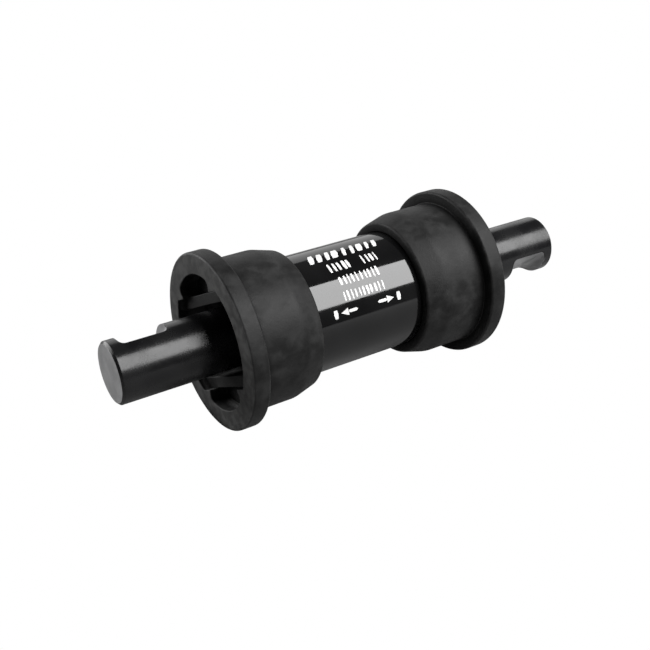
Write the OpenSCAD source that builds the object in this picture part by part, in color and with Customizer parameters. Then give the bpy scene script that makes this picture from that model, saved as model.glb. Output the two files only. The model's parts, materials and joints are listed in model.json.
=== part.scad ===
// Cottered bottom bracket: a sealed cartridge carried by two push-in plastic cups.
// X runs along the spindle towards the drive side, Z is up, and the origin is the middle of the frame's shell.
// "In" is towards that middle and "out" is away from it. All sizes are in millimetres.

/* [Shell] */
// Width of the frame's shell, which is the distance between the two flanges
shell_width = 68; // [60:1:84]

/* [Spindle] */
// Length of the spindle
spindle_length = 136; // [124:1:170]
// Diameter of the spindle's ends
spindle_d = 16; // [12:0.5:20]
// Distance from the middle of the shell to the middle of the spindle
spindle_offset = 3; // [0:0.5:6]
// Bevel on the edge of each end
end_bevel = 0.6; // [0.2:0.1:1.5]
// Step up from the crank's seat to the bearing's seat
journal_step = 0.5; // [0.2:0.1:1.5]
// Step up from each bearing seat to the thick middle
shoulder_step = 1.5; // [0.5:0.1:2]

/* [Cotter notches] */
// Width of each notch along the spindle
notch_width = 12.5; // [8:0.5:14]
// Depth of each notch at its middle
notch_depth = 3.35; // [1.5:0.05:5]
// Distance from the end of the spindle to its notch
notch_from_end = 3; // [1.5:0.5:6]
// Radius in the corners of each notch's floor
notch_corner_r = 1.5; // [0.4:0.1:1.5]
// Direction of the drive-side notch, from +Y towards +Z
notch_angle = 225; // [0:5:355]

/* [Bearings] */
// Diameter of each ball
ball_d = 3.5; // [2.5:0.1:5]
// Gap left between two neighbouring balls
ball_spacing = 3.2; // [1.5:0.1:6]
// Thickness of each race under its groove
race_wall = 1.5; // [1:0.1:3]
// Gap between the two races beside the balls
race_gap = 2.1; // [1.8:0.1:2.4]
// Bevel on the edges of the races
race_bevel = 0.3; // [0.1:0.05:0.5]
// Thickness of each bearing seal
seal_thickness = 0.6; // [0.4:0.1:1]
// Distance from the bearing's face to its seal
seal_inset = 0.2; // [0.1:0.05:0.5]
// Depth of the seal's seat in the outer race
seal_seat = 0.6; // [0.3:0.1:0.8]
// Width of the cage on each side of a ball
cage_side = 0.55; // [0.4:0.05:1]
// Gap between the cage and what is beside it
cage_gap = 0.4; // [0.2:0.05:0.5]

/* [Cartridge] */
// Wall of the cartridge sleeve
sleeve_wall = 1; // [0.8:0.1:2]
// Distance from the end of the shell to the end of the sleeve
sleeve_inset = 5; // [4:0.5:8]
// Wall of the spacer between the bearings
spacer_wall = 1; // [0.6:0.1:2]
// Length of each retaining collar
collar_length = 2; // [1.5:0.1:4]
// Wall of each retaining collar
collar_wall = 2; // [1:0.1:3]
// Thickness of each dust seal at its rim
dust_seal_thickness = 1.4; // [1:0.1:1.5]
// Thickness of each dust seal at its lip
dust_lip_thickness = 0.4; // [0.2:0.1:0.8]

/* [Cups] */
// Wall of each cup between the sleeve and the shell
cup_wall = 4; // [2.5:0.5:6]
// Distance that each cup reaches into the shell
cup_reach = 18; // [13:1:24]
// Length of the lead-in taper at the cup's inner end
lead_in_length = 6; // [3:0.5:8]
// Depth of the lead-in taper
lead_in_depth = 1.6; // [0.5:0.1:2]
// Rounding of the cup's inner edge
lip_round = 0.8; // [0.2:0.1:0.8]
// Width that the flange stands out past the shell's bore
flange_rim = 3.25; // [2:0.25:6]
// Thickness of the flange
flange_thickness = 4.8; // [3:0.1:7]
// Rounding of the flange's edges
flange_round = 0.5; // [0.1:0.1:1.2]

/* [Tool face] */
// Width of the flat ring round the cup's outer face
ring_width = 5.45; // [4.5:0.25:7]
// Gap between the spindle and each side of the tool slot
slot_gap = 1.25; // [1:0.25:2]
// Thickness of the rib on each side of the tool slot
rib_thickness = 3; // [1.5:0.25:3.5]
// Depth of each rib's top below the ring
rib_recess = 2.2; // [0.2:0.1:3]
// Depth of the pocket behind each rib
pocket_depth = 5; // [3.5:0.25:6]
// Radius in the two corners of each pocket
pocket_corner_r = 1.8; // [0.5:0.1:2.5]
// Thickness of the wall between the tool slot and the bearing
bulkhead_thickness = 1.8; // [1:0.1:3]
// Radial gap between the spindle and the hole in that wall
bulkhead_gap = 0.5; // [0.3:0.1:0.7]
// Direction of the tool slots, from +Y towards +Z
slot_angle = -30; // [-90:5:90]

/* [Fits] */
// Radial gap where one piece turns in another
running_gap = 0.05; // [0.02:0.01:0.1]
// Radial gap where the left cup slides on the sleeve
sliding_gap = 0.03; // [0.01:0.01:0.08]
// Gap between the end of the sleeve and the bottom of a cup
seat_gap = 0.1; // [0.05:0.05:0.5]

/* [Hidden] */
$fn = 96;
// How far a cutting shape runs past the face that it opens
past = 1;

// Radii, from the spindle outwards
spindle_r = spindle_d / 2;
journal_r = spindle_r + journal_step;
shoulder_r = journal_r + shoulder_step;
ball_r = ball_d / 2;
groove_r = ball_r + running_gap;
pitch_r = journal_r + race_wall + ball_r;
inner_land_r = pitch_r - race_gap / 2;
outer_land_r = pitch_r + race_gap / 2;
bearing_r = pitch_r + ball_r + race_wall;
sleeve_r = bearing_r + sleeve_wall;
cup_r = sleeve_r + cup_wall;
flange_r = cup_r + flange_rim;
opening_r = flange_r - ring_width;
rib_back = spindle_r + slot_gap + rib_thickness;

// Middle of each rounded corner of a pocket, which touches both the pocket's round side and its straight side
pocket_corner_y = rib_back + pocket_corner_r;
pocket_corner_x = sqrt(pow(opening_r - pocket_corner_r, 2) - pow(pocket_corner_y, 2));

// Places along the spindle, on the drive side
bearing_width = ball_d + 2 * (cage_side + cage_gap + seal_thickness + seal_inset);
sleeve_end = shell_width / 2 - sleeve_inset;
bearing_out = sleeve_end - collar_length;
bearing_in = bearing_out - bearing_width;
bearing_x = (bearing_in + bearing_out) / 2;
cup_in = shell_width / 2 - cup_reach;
cup_out = shell_width / 2 + flange_thickness;
socket_end = sleeve_end + seat_gap;
slot_floor = socket_end + bulkhead_thickness;
left_end = spindle_offset - spindle_length / 2;
right_end = spindle_offset + spindle_length / 2;
notch_inset = notch_from_end + notch_width / 2;

// The balls share the pitch circle evenly, each with at least its spacing
ball_count = floor(2 * PI * pitch_r / (ball_d + ball_spacing));

// Stands what is drawn upright along Z on the X axis: a flat shape's x becomes Y and its y becomes Z
module along_x() {
    rotate([90, 0, 90])
        children();
}

// Spins a flat profile, drawn as [radius, place along the spindle], round the spindle
module turned() {
    along_x()
        rotate_extrude()
            children();
}

// Pushes a flat shape, drawn across the spindle, from one place along the spindle to another
module pushed(from, to) {
    translate([from, 0, 0])
        along_x()
            linear_extrude(height = to - from)
                children();
}

// A plain ring's profile between two radii and two places along the spindle
module ring_profile(inner_r, outer_r, from, to) {
    translate([inner_r, from])
        square([outer_r - inner_r, to - from]);
}

// Puts a drive-side piece on the left side
module on_left() {
    mirror([1, 0, 0])
        children();
}

// ---- Spindle: one turned steel bar, with two bearing seats that run out through the cups' inner walls ----

module spindle_bar() {
    turned()
        polygon([
            [0, left_end],
            [spindle_r - end_bevel, left_end],
            [spindle_r, left_end + end_bevel],
            [spindle_r, -slot_floor],
            [journal_r, -slot_floor],
            [journal_r, -bearing_in],
            [shoulder_r, -bearing_in],
            [shoulder_r, bearing_in],
            [journal_r, bearing_in],
            [journal_r, slot_floor],
            [spindle_r, slot_floor],
            [spindle_r, right_end - end_bevel],
            [spindle_r - end_bevel, right_end],
            [0, right_end]
        ]);
}

// The notch's outline from the side, with its floor at y = 0 and its corners rounded
module notch_outline() {
    floor_width = notch_width - 2 * notch_corner_r;
    height = notch_depth + past;
    translate([-floor_width / 2, 0])
        square([floor_width, height]);
    translate([-notch_width / 2, notch_corner_r])
        square([notch_width, height - notch_corner_r]);
    for (side = [-1, 1])
        translate([side * floor_width / 2, notch_corner_r])
            circle(r = notch_corner_r);
}

module notch_cut(x, angle) {
    translate([x, 0, 0])
        rotate([angle, 0, 0])
            translate([0, spindle_r - notch_depth, 0])
                linear_extrude(height = spindle_d + 2 * past, center = true)
                    notch_outline();
}

module spindle() {
    color([0.10, 0.10, 0.11])
        difference() {
            spindle_bar();
            notch_cut(right_end - notch_inset, notch_angle);
            notch_cut(left_end + notch_inset, notch_angle + 180);
        }
}

// ---- Cartridge: a drawn tube, the spacer inside it, and what closes its ends ----

module cartridge_sleeve() {
    color([0.03, 0.03, 0.035])
        turned()
            ring_profile(bearing_r, sleeve_r, -sleeve_end, sleeve_end);
}

module bearing_spacer() {
    color([0.60, 0.61, 0.63])
        turned()
            ring_profile(bearing_r - spacer_wall, bearing_r, -bearing_in, bearing_in);
}

module retaining_collar() {
    color([0.45, 0.46, 0.48])
        turned()
            ring_profile(bearing_r - collar_wall, bearing_r, bearing_out, sleeve_end);
}

// The seal is thick at its rim, where the collar holds it, and thins down to a lip on the spindle
module dust_seal() {
    rim_r = bearing_r - collar_wall;
    lip_r = journal_r + running_gap;
    knee_r = (rim_r + lip_r) / 2;
    rim_in = sleeve_end - dust_seal_thickness;
    color([0.07, 0.07, 0.07])
        turned()
            polygon([
                [knee_r, rim_in],
                [rim_r, rim_in],
                [rim_r, sleeve_end],
                [knee_r, sleeve_end],
                [lip_r, sleeve_end - (dust_seal_thickness - dust_lip_thickness) / 2],
                [lip_r, rim_in + (dust_seal_thickness - dust_lip_thickness) / 2]
            ]);
}

// ---- Ball bearings: each is drawn round x = 0 and then moved to its seat ----

// Repeats a piece at every ball's place, turned so that its Y points away from the spindle
module at_each_ball() {
    for (i = [0 : ball_count - 1])
        rotate([i * 360 / ball_count, 0, 0])
            translate([0, pitch_r, 0])
                children();
}

module ball_groove() {
    translate([pitch_r, 0])
        circle(r = groove_r);
}

module outer_race() {
    half = bearing_width / 2;
    color([0.72, 0.73, 0.75])
        turned()
            difference() {
                polygon([
                    [outer_land_r, -half],
                    [bearing_r - race_bevel, -half],
                    [bearing_r, race_bevel - half],
                    [bearing_r, half - race_bevel],
                    [bearing_r - race_bevel, half],
                    [outer_land_r, half]
                ]);
                ball_groove();
                seal_seats();
            }
}

module inner_race() {
    half = bearing_width / 2;
    color([0.72, 0.73, 0.75])
        turned()
            difference() {
                polygon([
                    [journal_r + race_bevel, -half],
                    [inner_land_r, -half],
                    [inner_land_r, half],
                    [journal_r + race_bevel, half],
                    [journal_r, half - race_bevel],
                    [journal_r, race_bevel - half]
                ]);
                ball_groove();
            }
}

// The steps in the outer race that the two seals clip into
module seal_seats() {
    seat_depth = seal_inset + seal_thickness;
    for (side = [-1, 1])
        translate([outer_land_r - past, side * (bearing_width / 2 - seat_depth / 2 + past / 2) - (seat_depth + past) / 2])
            square([seal_seat + past, seat_depth + past]);
}

module bearing_balls() {
    color([0.82, 0.83, 0.85])
        at_each_ball()
            sphere(r = ball_r);
}

// A ring with a round window drilled through it for each ball
module bearing_cage() {
    half_width = ball_r + cage_side;
    color([0.62, 0.50, 0.30])
        difference() {
            turned()
                ring_profile(inner_land_r + cage_gap, outer_land_r - cage_gap, -half_width, half_width);
            at_each_ball()
                rotate([90, 0, 0])
                    cylinder(h = race_gap, r = ball_r + running_gap, center = true);
        }
}

// The seal on the side of the bearing that faces out
module bearing_seal() {
    face = bearing_width / 2 - seal_inset;
    color([0.12, 0.12, 0.13])
        turned()
            ring_profile(inner_land_r + running_gap, outer_land_r + seal_seat, face - seal_thickness, face);
}

module at_right_bearing() {
    translate([bearing_x, 0, 0])
        children();
}

module at_left_bearing() {
    on_left()
        at_right_bearing()
            children();
}

// The same seal on the side that faces in
module bearing_inner_seal() {
    on_left()
        bearing_seal();
}

// ---- Cups: glass-filled nylon mouldings that centre the cartridge in the shell ----

module cup_blank() {
    turned() {
        polygon([
            [0, cup_in],
            [cup_r - lead_in_depth - lip_round, cup_in],
            [cup_r - lead_in_depth, cup_in + lip_round],
            [cup_r, cup_in + lead_in_length],
            [cup_r, shell_width / 2],
            [flange_r - flange_round, shell_width / 2],
            [flange_r, shell_width / 2 + flange_round],
            [flange_r, cup_out - flange_round],
            [flange_r - flange_round, cup_out],
            [0, cup_out]
        ]);
        translate([cup_r - lead_in_depth - lip_round, cup_in + lip_round])
            circle(r = lip_round);
        for (y = [shell_width / 2 + flange_round, cup_out - flange_round])
            translate([flange_r - flange_round, y])
                circle(r = flange_round);
    }
}

// The slot's outline across the opening
module slot_outline() {
    intersection() {
        circle(r = opening_r);
        square([2 * opening_r, 2 * (spindle_r + slot_gap)], center = true);
    }
}

// What is lowered to the tops of the ribs: a band across the opening, from one rib's back to the other's
module slot_and_ribs_outline() {
    intersection() {
        circle(r = opening_r);
        square([2 * opening_r, 2 * rib_back], center = true);
    }
}

// A D-shaped pocket with rounded corners: its straight side lies along the back of a rib
module pocket_outline() {
    touch_x = pocket_corner_x * opening_r / (opening_r - pocket_corner_r);
    touch_y = pocket_corner_y * opening_r / (opening_r - pocket_corner_r);
    intersection() {
        circle(r = opening_r);
        polygon([
            [-pocket_corner_x, rib_back],
            [pocket_corner_x, rib_back],
            [pocket_corner_x, pocket_corner_y],
            [touch_x, touch_y],
            [touch_x, opening_r + past],
            [-touch_x, opening_r + past],
            [-touch_x, touch_y],
            [-pocket_corner_x, pocket_corner_y]
        ]);
    }
    for (side = [-1, 1])
        translate([side * pocket_corner_x, pocket_corner_y])
            circle(r = pocket_corner_r);
}

module tool_face_cut() {
    rotate([slot_angle, 0, 0]) {
        pushed(slot_floor, cup_out + past)
            slot_outline();
        for (turn = [0, 180])
            rotate([turn, 0, 0])
                pushed(cup_out - pocket_depth, cup_out + past)
                    pocket_outline();
        pushed(cup_out - rib_recess, cup_out + past)
            slot_and_ribs_outline();
    }
}

module cup(socket_gap) {
    color([0.15, 0.15, 0.16])
        difference() {
            cup_blank();
            pushed(cup_in - past, socket_end)
                circle(r = sleeve_r + socket_gap);
            pushed(socket_end - past, slot_floor + past)
                circle(r = journal_r + bulkhead_gap);
            tool_face_cut();
        }
}

spindle();
cartridge_sleeve();
bearing_spacer();
at_left_bearing() outer_race();  // left_bearing_outer_race
at_left_bearing() inner_race();  // left_bearing_inner_race
at_left_bearing() bearing_balls();  // left_bearing_balls
at_left_bearing() bearing_cage();  // left_bearing_cage
at_left_bearing() bearing_inner_seal();  // left_bearing_inner_seal
at_left_bearing() bearing_seal();  // left_bearing_outer_seal
at_right_bearing() outer_race();  // right_bearing_outer_race
at_right_bearing() inner_race();  // right_bearing_inner_race
at_right_bearing() bearing_balls();  // right_bearing_balls
at_right_bearing() bearing_cage();  // right_bearing_cage
at_right_bearing() bearing_inner_seal();  // right_bearing_inner_seal
at_right_bearing() bearing_seal();  // right_bearing_outer_seal
on_left() retaining_collar();  // left_retaining_collar
retaining_collar();  // right_retaining_collar
on_left() dust_seal();  // left_dust_seal
dust_seal();  // right_dust_seal
on_left() cup(sliding_gap);  // left_cup
cup(0);  // right_cup
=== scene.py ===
import json
import math
import random

import bmesh
import bpy
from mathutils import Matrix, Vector


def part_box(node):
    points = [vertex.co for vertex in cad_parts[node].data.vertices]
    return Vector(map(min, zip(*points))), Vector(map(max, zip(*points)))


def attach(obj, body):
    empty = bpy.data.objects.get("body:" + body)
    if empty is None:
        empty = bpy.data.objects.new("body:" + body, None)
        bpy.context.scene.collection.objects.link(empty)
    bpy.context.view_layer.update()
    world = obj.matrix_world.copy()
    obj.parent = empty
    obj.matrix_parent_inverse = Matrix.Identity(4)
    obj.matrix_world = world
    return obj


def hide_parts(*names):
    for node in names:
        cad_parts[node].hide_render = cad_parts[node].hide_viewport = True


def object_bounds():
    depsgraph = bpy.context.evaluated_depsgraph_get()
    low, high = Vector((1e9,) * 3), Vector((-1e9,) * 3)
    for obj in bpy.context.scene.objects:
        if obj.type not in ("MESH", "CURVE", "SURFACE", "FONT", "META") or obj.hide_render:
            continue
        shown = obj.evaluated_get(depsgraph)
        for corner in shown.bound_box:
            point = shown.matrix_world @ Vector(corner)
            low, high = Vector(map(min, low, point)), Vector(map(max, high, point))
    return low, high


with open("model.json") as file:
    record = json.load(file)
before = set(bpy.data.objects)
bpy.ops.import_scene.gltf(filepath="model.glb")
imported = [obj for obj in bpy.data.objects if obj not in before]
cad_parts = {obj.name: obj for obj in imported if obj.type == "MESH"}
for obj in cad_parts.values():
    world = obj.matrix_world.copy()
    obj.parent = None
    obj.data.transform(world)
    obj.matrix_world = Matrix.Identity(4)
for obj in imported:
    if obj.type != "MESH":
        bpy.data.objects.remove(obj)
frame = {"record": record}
cad_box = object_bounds()
mounts = {mount["name"]: mount for mount in frame["record"]["mounts"]}


# ---- Spindle ----
# One bar of carbon steel, turned between centres and blackened all over with a hard, semi-gloss coat.
# The ends are then faced to length, and a cross notch for the crank's cotter pin is milled near each end,
# half a turn apart. Both cuts go through the coat and leave bare steel.

left_end, right_end = (corner.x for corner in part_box("spindle"))
shoulder_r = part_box("spindle")[1].z
crank_seat_r = mounts["left_crank_seat"]["dims"]["r_mm"] / 1000
journal_step = 0.0005
journal_r = crank_seat_r + journal_step
bearing_in = -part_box("left_bearing_outer_race")[1].x
sleeve_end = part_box("cartridge_sleeve")[1].x
socket_end_gap = 0.0001
bulkhead_thickness = 0.0018
socket_end = sleeve_end + socket_end_gap
bulkhead_out = socket_end + bulkhead_thickness
end_bevel = 0.0006
notch_half = 0.00625
notch_corner_r = 0.0015
notch_floor = Vector(mounts["left_cotter_flat"]["pos_m"][1:]).length
notch_heading = math.atan2(*reversed(mounts["left_cotter_flat"]["axis"][1:]))
left_notch_x = mounts["left_cotter_flat"]["pos_m"][0]
right_notch_x = mounts["right_cotter_flat"]["pos_m"][0]
weld_distance = 1e-7


def spindle_ring(x, radius, left_cut=0, right_cut=0):
    """The points of one ring round the bar. A cut is the height of that notch's flat above the axis."""
    points_over_notch, points_beside = 28, 56
    plain_half = math.acos((notch_floor + notch_corner_r) / crank_seat_r)
    halves = [math.acos(cut / radius) if cut else plain_half for cut in (left_cut, right_cut)]
    ring = []
    for side, cut in enumerate((left_cut, right_cut)):
        middle = notch_heading + side * math.pi
        out = Vector((0, math.cos(middle), math.sin(middle)))
        across = Vector((0, -out.z, out.y))
        for k in range(points_over_notch):
            share = 2 * k / points_over_notch - 1
            if cut:
                ring.append(out * cut + across * radius * math.sin(halves[side]) * share)
            else:
                turn = halves[side] * share
                ring.append((out * math.cos(turn) + across * math.sin(turn)) * radius)
        gap = math.pi - halves[0] - halves[1]
        for k in range(points_beside):
            turn = halves[side] + gap * k / points_beside
            ring.append((out * math.cos(turn) + across * math.sin(turn)) * radius)
    return [Vector((x, 0, 0)) + point for point in ring]


def notch_rings(middle_x, cut_name):
    """The rings along one notch: a square wall, a round corner, the flat, and the same back up again."""
    corner_steps = 6
    one_side = [(notch_half, 0)]
    for k in range(corner_steps + 1):
        turn = math.pi / 2 * k / corner_steps
        height = notch_floor + notch_corner_r * (1 - math.sin(turn))
        one_side.append((notch_half - notch_corner_r * (1 - math.cos(turn)), height))
    places = [(-reach, cut) for reach, cut in one_side]
    places += [(reach, cut) for reach, cut in reversed(one_side)]
    return [spindle_ring(middle_x + dx, crank_seat_r, **{cut_name: cut}) for dx, cut in places]


def mesh_from_rings(rings):
    """Joins rings of equal length into a closed skin, with a cap on the first and on the last one."""
    bm = bmesh.new()
    rows = [[bm.verts.new(point) for point in ring] for ring in rings]
    count = len(rows[0])
    for row, following in zip(rows, rows[1:]):
        for k in range(count):
            after = (k + 1) % count
            bm.faces.new((row[k], row[after], following[after], following[k]))
    bm.faces.new(rows[0])
    bm.faces.new(rows[-1])
    bmesh.ops.remove_doubles(bm, verts=bm.verts, dist=weld_distance)
    bmesh.ops.recalc_face_normals(bm, faces=bm.faces)
    return bm


def break_sharp_edges(bm, width, keep=lambda edge: False):
    """Rounds each edge that stands out sharply, as a file or a mould does, except those to keep."""
    sharpest_smooth = math.radians(35)
    outer = [edge for edge in bm.edges if edge.is_manifold and edge.is_convex and not keep(edge)]
    sharp = [edge for edge in outer if edge.calc_face_angle() > sharpest_smooth]
    bmesh.ops.bevel(
        bm, geom=sharp, offset=width, offset_type="OFFSET", segments=3, profile=0.5, affect="EDGES",
        clamp_overlap=True, loop_slide=True,
    )


def finished_piece(name, bm, *finishes):
    """Makes the piece's object, with flat faces that shade flat and rounded edges that shade round."""
    mesh = bpy.data.meshes.new(name)
    bm.to_mesh(mesh)
    bm.free()
    return shaded_piece(name, mesh, *finishes)


def shaded_piece(name, mesh, *finishes):
    """Makes the piece's object from a mesh, and keeps which finish each of its faces has."""
    mesh.shade_smooth()
    draft = bpy.data.objects.new(name + "_draft", mesh)
    bpy.context.scene.collection.objects.link(draft)
    weighted = draft.modifiers.new("weighted", "WEIGHTED_NORMAL")
    weighted.keep_sharp = True
    weighted.weight = 60
    evaluated = draft.evaluated_get(bpy.context.evaluated_depsgraph_get())
    final = bpy.data.meshes.new_from_object(evaluated)
    final.name = name
    bpy.data.objects.remove(draft)
    finish_of_face = [face.material_index for face in final.polygons]
    final.materials.clear()
    for finish in finishes:
        final.materials.append(finish)
    final.polygons.foreach_set("material_index", finish_of_face)
    piece = bpy.data.objects.new(name, final)
    bpy.context.scene.collection.objects.link(piece)
    return piece


def put(tree, kind, values=(), **settings):
    """Adds a node with its settings. Each input is given a number or colour, or a socket to link from."""
    node = tree.nodes.new(kind)
    for name, value in settings.items():
        setattr(node, name, value)
    for key, value in dict(values).items():
        if isinstance(value, bpy.types.NodeSocket):
            tree.links.new(value, node.inputs[key])
        else:
            node.inputs[key].default_value = value
    return node


def math_of(tree, operation, first, second=0.0):
    return put(tree, "ShaderNodeMath", {0: first, 1: second}, operation=operation).outputs[0]


def ranged(tree, value, low, high, to_low=0.0, to_high=1.0):
    """Moves a value from one range to another, with soft ends."""
    values = {"Value": value, "From Min": low, "From Max": high, "To Min": to_low, "To Max": to_high}
    return put(tree, "ShaderNodeMapRange", values, interpolation_type="SMOOTHSTEP").outputs["Result"]


def between(tree, share, low, high):
    return ranged(tree, share, 0, 1, low, high)


def mixed_colour(tree, share, first, second):
    node = put(tree, "ShaderNodeMix", {0: share}, data_type="RGBA")
    for socket, value in ((node.inputs[6], first), (node.inputs[7], second)):
        if isinstance(value, bpy.types.NodeSocket):
            tree.links.new(value, socket)
        else:
            socket.default_value = (*value, 1)
    return node.outputs[2]


def start_group(name, inputs, outputs):
    """An empty shader node group with its named inputs and their first values, and its named outputs."""
    tree = bpy.data.node_groups.new(name, "ShaderNodeTree")
    for label, value in inputs.items():
        socket = tree.interface.new_socket(label, in_out="INPUT", socket_type="NodeSocketFloat")
        socket.default_value = value
    for label in outputs:
        tree.interface.new_socket(label, in_out="OUTPUT", socket_type="NodeSocketFloat")
    return tree, tree.nodes.new("NodeGroupInput").outputs, tree.nodes.new("NodeGroupOutput")


def place_on_part(tree):
    return put(tree, "ShaderNodeTexCoord").outputs["Object"]


def noise_of(tree, place, scale, detail):
    return put(tree, "ShaderNodeTexNoise", {"Vector": place, "Scale": scale, "Detail": detail}).outputs["Fac"]


def spread(tree, noise, low=0.0, high=1.0):
    """A noise, whose values lie mostly from 0.3 to 0.7, stretched over a range."""
    return ranged(tree, noise, 0.3, 0.7, low, high)


def edge_wear_group():
    """Where handling has rubbed the edges that stand out: 1 on a bare edge, 0 on an untouched face."""
    inputs = {"Width": 0.0004, "Patch Size": 0.002, "Amount": 1.0}
    tree, given, result = start_group("edge_wear", inputs, ["Worn"])
    reach = {"Distance": given["Width"]}
    thin = put(tree, "ShaderNodeAmbientOcclusion", reach, samples=8, inside=True, only_local=True)
    patch_scale = math_of(tree, "DIVIDE", 1.0, given["Patch Size"])
    patches = spread(tree, noise_of(tree, place_on_part(tree), patch_scale, 4.0))
    near_edge = math_of(tree, "SUBTRACT", 1.0, thin.outputs["AO"])
    rubbed = math_of(tree, "MULTIPLY", near_edge, math_of(tree, "MULTIPLY", patches, given["Amount"]))
    tree.links.new(ranged(tree, rubbed, 0.08, 0.42), result.inputs["Worn"])
    return tree


def turning_marks_group():
    """The fine rings that a lathe tool leaves round a bar: their height, and a slow change of tone."""
    changes_around, tone_patches = 60.0, 140.0
    tree, given, result = start_group("turning_marks", {"Spacing": 0.0002}, ["Height", "Tone"])
    place = place_on_part(tree)
    split = put(tree, "ShaderNodeSeparateXYZ", {0: place})
    along = math_of(tree, "DIVIDE", split.outputs["X"], given["Spacing"])
    around_y = math_of(tree, "MULTIPLY", split.outputs["Y"], changes_around)
    around_z = math_of(tree, "MULTIPLY", split.outputs["Z"], changes_around)
    stretched = put(tree, "ShaderNodeCombineXYZ", {"X": along, "Y": around_y, "Z": around_z}).outputs[0]
    tree.links.new(noise_of(tree, stretched, 1.0, 3.0), result.inputs["Height"])
    tree.links.new(spread(tree, noise_of(tree, place, tone_patches, 5.0)), result.inputs["Tone"])
    return tree


def grain_group():
    """A fine, even grain with slow blotches over it, as on an etched, moulded or coated face."""
    inputs = {"Grain Size": 0.0004, "Blotch Size": 0.006}
    tree, given, result = start_group("surface_grain", inputs, ["Grain", "Blotches"])
    place = place_on_part(tree)
    for label, size, detail in (("Grain", "Grain Size", 3.0), ("Blotches", "Blotch Size", 4.0)):
        scale = math_of(tree, "DIVIDE", 1.0, given[size])
        tree.links.new(spread(tree, noise_of(tree, place, scale, detail)), result.inputs[label])
    return tree


edge_wear = edge_wear_group()
turning_marks = turning_marks_group()
surface_grain = grain_group()


def use_group(tree, group, **values):
    """Places a shared node group in a material, with that material's own values."""
    named = {label.replace("_", " ").title(): value for label, value in values.items()}
    return put(tree, "ShaderNodeGroup", named, node_tree=group).outputs


def new_finish(name, **constants):
    """A material with one Principled shader, whose plain values are set on its own sockets."""
    finish = bpy.data.materials.new(name)
    finish.use_nodes = True
    tree = finish.node_tree
    shader = tree.nodes["Principled BSDF"]
    for label, value in constants.items():
        shader.inputs[label.replace("_", " ")].default_value = value
    return finish, tree, shader.inputs


def raise_surface(tree, shader, height, depth):
    """Feeds a height through one Bump node. The depth is in metres, from the lowest to the highest."""
    bump = put(tree, "ShaderNodeBump", {"Height": height, "Strength": 1.0, "Distance": depth})
    tree.links.new(bump.outputs["Normal"], shader["Normal"])


def blackened_steel():
    """The hard black coat, rubbed to bright steel along its edges."""
    finish, tree, shader = new_finish("blackened_steel", Specular_IOR_Level=0.36)
    worn = use_group(tree, edge_wear, width=0.0003, patch_size=0.0016, amount=0.8)["Worn"]
    marks = use_group(tree, turning_marks, spacing=0.00018)
    grain = use_group(tree, surface_grain, grain_size=0.0003, blotch_size=0.009)
    coat = mixed_colour(tree, grain["Blotches"], (0.004, 0.004, 0.0045), (0.009, 0.009, 0.0095))
    tree.links.new(mixed_colour(tree, worn, coat, (0.42, 0.42, 0.44)), shader["Base Color"])
    tree.links.new(worn, shader["Metallic"])
    streaks = between(tree, marks["Tone"], 0.18, 0.27)
    dull = math_of(tree, "ADD", streaks, math_of(tree, "MULTIPLY", grain["Grain"], 0.04))
    tree.links.new(dull, shader["Roughness"])
    height = math_of(tree, "ADD", marks["Height"], math_of(tree, "MULTIPLY", grain["Grain"], 0.4))
    raise_surface(tree, shader, height, 0.000004)
    return finish


def faced_steel():
    """Bare steel on the ends and in the notches: fine circles from the cutter, gone a little dull."""
    circles_in_a_metre = 6000.0
    finish, tree, shader = new_finish("faced_steel", Metallic=0.3)
    split = put(tree, "ShaderNodeSeparateXYZ", {0: place_on_part(tree)})
    flat = put(tree, "ShaderNodeCombineXYZ", {"Y": split.outputs["Y"], "Z": split.outputs["Z"]}).outputs[0]
    radius = put(tree, "ShaderNodeVectorMath", {0: flat}, operation="LENGTH").outputs["Value"]
    values = {"W": math_of(tree, "MULTIPLY", radius, circles_in_a_metre), "Scale": 1.0}
    circles = put(tree, "ShaderNodeTexNoise", values, noise_dimensions="1D").outputs[0]
    grain = use_group(tree, surface_grain, grain_size=0.0005, blotch_size=0.004)
    worn = use_group(tree, edge_wear, width=0.0004, patch_size=0.002, amount=1.0)["Worn"]
    bare = mixed_colour(tree, grain["Blotches"], (0.31, 0.31, 0.315), (0.41, 0.41, 0.415))
    tree.links.new(mixed_colour(tree, worn, bare, (0.60, 0.60, 0.61)), shader["Base Color"])
    tree.links.new(between(tree, grain["Grain"], 0.42, 0.55), shader["Roughness"])
    height = math_of(tree, "ADD", circles, math_of(tree, "MULTIPLY", grain["Grain"], 0.5))
    raise_surface(tree, shader, height, 0.000006)
    return finish


spindle_rows = [
    spindle_ring(left_end, crank_seat_r - end_bevel),
    spindle_ring(left_end + end_bevel, crank_seat_r),
    *notch_rings(left_notch_x, "left_cut"),
]
for x, radius in (
    (-bulkhead_out, crank_seat_r),
    (-bulkhead_out, journal_r),
    (-bearing_in, journal_r),
    (-bearing_in, shoulder_r),
    (bearing_in, shoulder_r),
    (bearing_in, journal_r),
    (bulkhead_out, journal_r),
    (bulkhead_out, crank_seat_r),
):
    spindle_rows.append(spindle_ring(x, radius))
spindle_rows += notch_rings(right_notch_x, "right_cut")
spindle_rows.append(spindle_ring(right_end - end_bevel, crank_seat_r))
spindle_rows.append(spindle_ring(right_end, crank_seat_r - end_bevel))

spindle_bm = mesh_from_rings(spindle_rows)
filed_edge = 0.00015
break_sharp_edges(spindle_bm, filed_edge)
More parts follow.
